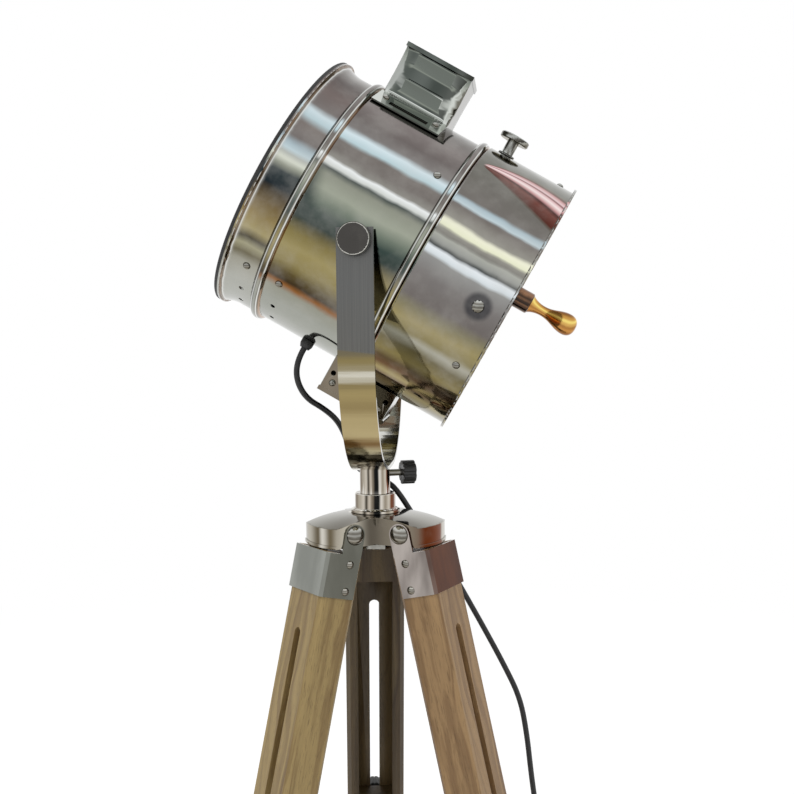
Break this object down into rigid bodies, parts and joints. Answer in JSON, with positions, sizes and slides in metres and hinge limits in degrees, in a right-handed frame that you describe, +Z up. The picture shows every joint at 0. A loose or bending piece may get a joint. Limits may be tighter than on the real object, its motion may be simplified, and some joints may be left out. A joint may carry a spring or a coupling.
{
  "type": "tripod searchlight lamp",
  "caption": "Bright metal searchlight drum that tilts in a U-shaped yoke on a small wooden tripod with folding, extending legs and a black lead.",
  "frame": {"origin": "on the floor, under the axis of the stem", "axes": "+Z up along the stem; the tilt axis lies along Y; the glass front of the drum looks towards -X and up, its rear handle towards +X"},
  "size_m": [0.3011, 0.297, 0.8016],
  "materials": {
    "drum_chrome": "bright plated sheet with faint polishing marks",
    "mirror_plate": "bright plated disc",
    "black_rubber": "matt moulded rubber",
    "lens_glass": "clear flat glass",
    "bulb_glass": "clear blown glass",
    "reflector_aluminium": "polished spun dish",
    "plated_steel": "bright plated small parts",
    "brass": "bare brass",
    "gilt_brass": "polished warm brass",
    "bronze_lacquer": "dark brown lacquer",
    "holder_porcelain": "glazed porcelain",
    "gunmetal": "dark grey steel, satin",
    "strap_steel": "brushed along the strap, bright at the bend",
    "stem_chrome": "polished cast metal",
    "ferrule_steel": "satin bright folded sheet",
    "black_plastic": "moulded black plastic",
    "leg_wood": "oiled straight-grained hardwood",
    "leg_wood_inner": "oiled straight-grained hardwood",
    "cord_black": "smooth round black flex"
  },
  "bodies": {
    "root": {"stem_socket": "stem_chrome", "tripod_crown": "stem_chrome", "socket_nut": "plated_steel", "hinge_bolts": "plated_steel", "hinge_nuts": "plated_steel", "cord_lower": "cord_black", "cord_tail": "cord_black", "cord_coil": "cord_black", "switch_body": "black_plastic", "plug_body": "black_plastic", "plug_pins": "brass"},
    "yoke": {"yoke_strap": "strap_steel", "yoke_spigot": "strap_steel", "cord_upper": "cord_black"},
    "head": {"drum_body": "drum_chrome", "front_ring": "drum_chrome", "lens_gasket": "black_rubber", "glass_lens": "lens_glass", "retaining_ring": "plated_steel", "rear_cover": "drum_chrome", "rear_plate": "mirror_plate", "reflector": "reflector_aluminium", "bulb_glass": "bulb_glass", "bulb_cap": "brass", "lamp_holder": "holder_porcelain", "holder_bracket": "plated_steel", "vent_box_top": "drum_chrome", "vent_box_bottom": "drum_chrome", "handle_collar": "bronze_lacquer", "handle_grip": "gilt_brass", "handle_screw": "plated_steel", "thumb_nut": "plated_steel", "drum_screws": "plated_steel", "cable_gland": "black_plastic", "pivot_bosses": "drum_chrome", "pivot_nuts": "plated_steel"},
    "near_knob": {"tilt_knob_near": "plated_steel"},
    "far_knob": {"tilt_knob_far": "plated_steel"},
    "clamp": {"clamp_stud": "plated_steel", "clamp_knob": "black_plastic"},
    "thumb": {"cover_thumb_screw": "gunmetal"},
    "rocker": {"switch_rocker": "black_plastic"},
    "leg_rear": {"upper_leg_rear": "leg_wood", "ferrule_rear": "ferrule_steel", "rivets_rear": "plated_steel"},
    "foot_leg_rear": {"lower_leg_rear": "leg_wood_inner", "foot_rear": "black_rubber"},
    "lock_rear": {"lock_screw_rear": "black_plastic"},
    "leg_left": {"upper_leg_left": "leg_wood", "ferrule_left": "ferrule_steel", "rivets_left": "plated_steel"},
    "foot_leg_left": {"lower_leg_left": "leg_wood_inner", "foot_left": "black_rubber"},
    "lock_left": {"lock_screw_left": "black_plastic"},
    "leg_right": {"upper_leg_right": "leg_wood", "ferrule_right": "ferrule_steel", "rivets_right": "plated_steel"},
    "foot_leg_right": {"lower_leg_right": "leg_wood_inner", "foot_right": "black_rubber"},
    "lock_right": {"lock_screw_right": "black_plastic"}
  },
  "joints": [
    {"name": "yoke_pan", "type": "hinge", "parent": "root", "child": "yoke", "pos_m": [0, 0, 0.4558], "axis": [0, 0, 1], "range_deg": [-12, 50], "deforming": ["cord_lower"]},
    {"name": "head_tilt", "type": "hinge", "parent": "yoke", "child": "head", "pos_m": [0, 0, 0.6402], "axis": [0, 1, 0], "range_deg": [-60, 30], "deforming": ["cord_upper"]},
    {"name": "near_knob_turn", "type": "hinge", "parent": "yoke", "child": "near_knob", "pos_m": [0, -0.12, 0.6402], "axis": [0, -1, 0], "range_deg": [-180, 180]},
    {"name": "far_knob_turn", "type": "hinge", "parent": "yoke", "child": "far_knob", "pos_m": [0, 0.12, 0.6402], "axis": [0, 1, 0], "range_deg": [-180, 180]},
    {"name": "clamp_turn", "type": "hinge", "parent": "root", "child": "clamp", "pos_m": [0, 0, 0.4504], "axis": [0.9397, 0.342, 0], "range_deg": [-180, 180]},
    {"name": "thumb_turn", "type": "hinge", "parent": "head", "child": "thumb", "pos_m": [0.11096, 0, 0.71239], "axis": [0.5, 0, 0.866], "range_deg": [-180, 180]},
    {"name": "rocker_tilt", "type": "hinge", "parent": "root", "child": "rocker", "pos_m": [0.099, 0.157, 0.0125], "axis": [0, 1, 0], "range_deg": [0, 16]},
    {"name": "leg_fold_rear", "type": "hinge", "parent": "root", "child": "leg_rear", "pos_m": [-0.00516, 0.03583, 0.405], "axis": [-0.9898, -0.1426, 0], "range_deg": [0, 13]},
    {"name": "leg_slide_rear", "type": "slide", "parent": "leg_rear", "child": "foot_leg_rear", "axis": [-0.0321, 0.2227, -0.9744], "range_m": [-0.03, 0.03]},
    {"name": "lock_turn_rear", "type": "hinge", "parent": "foot_leg_rear", "child": "lock_rear", "pos_m": [-0.01749, 0.12134, 0.12526], "axis": [-0.139, 0.9644, 0.225], "range_deg": [-180, 180]},
    {"name": "leg_fold_left", "type": "hinge", "parent": "root", "child": "leg_left", "pos_m": [-0.02845, -0.02239, 0.405], "axis": [0.6184, -0.7859, 0], "range_deg": [0, 13]},
    {"name": "leg_slide_left", "type": "slide", "parent": "leg_left", "child": "foot_leg_left", "axis": [-0.1768, -0.1391, -0.9744], "range_m": [-0.03, 0.03]},
    {"name": "lock_turn_left", "type": "hinge", "parent": "foot_leg_left", "child": "lock_left", "pos_m": [-0.09634, -0.07581, 0.12526], "axis": [-0.7657, -0.6026, 0.225], "range_deg": [-180, 180]},
    {"name": "leg_fold_right", "type": "hinge", "parent": "root", "child": "leg_right", "pos_m": [0.03361, -0.01344, 0.405], "axis": [0.3714, 0.9285, 0], "range_deg": [0, 13]},
    {"name": "leg_slide_right", "type": "slide", "parent": "leg_right", "child": "foot_leg_right", "axis": [0.2089, -0.0835, -0.9744], "range_m": [-0.03, 0.03]},
    {"name": "lock_turn_right", "type": "hinge", "parent": "foot_leg_right", "child": "lock_right", "pos_m": [0.11382, -0.04553, 0.12526], "axis": [0.9047, -0.3618, 0.225], "range_deg": [-180, 180]}
  ]
}
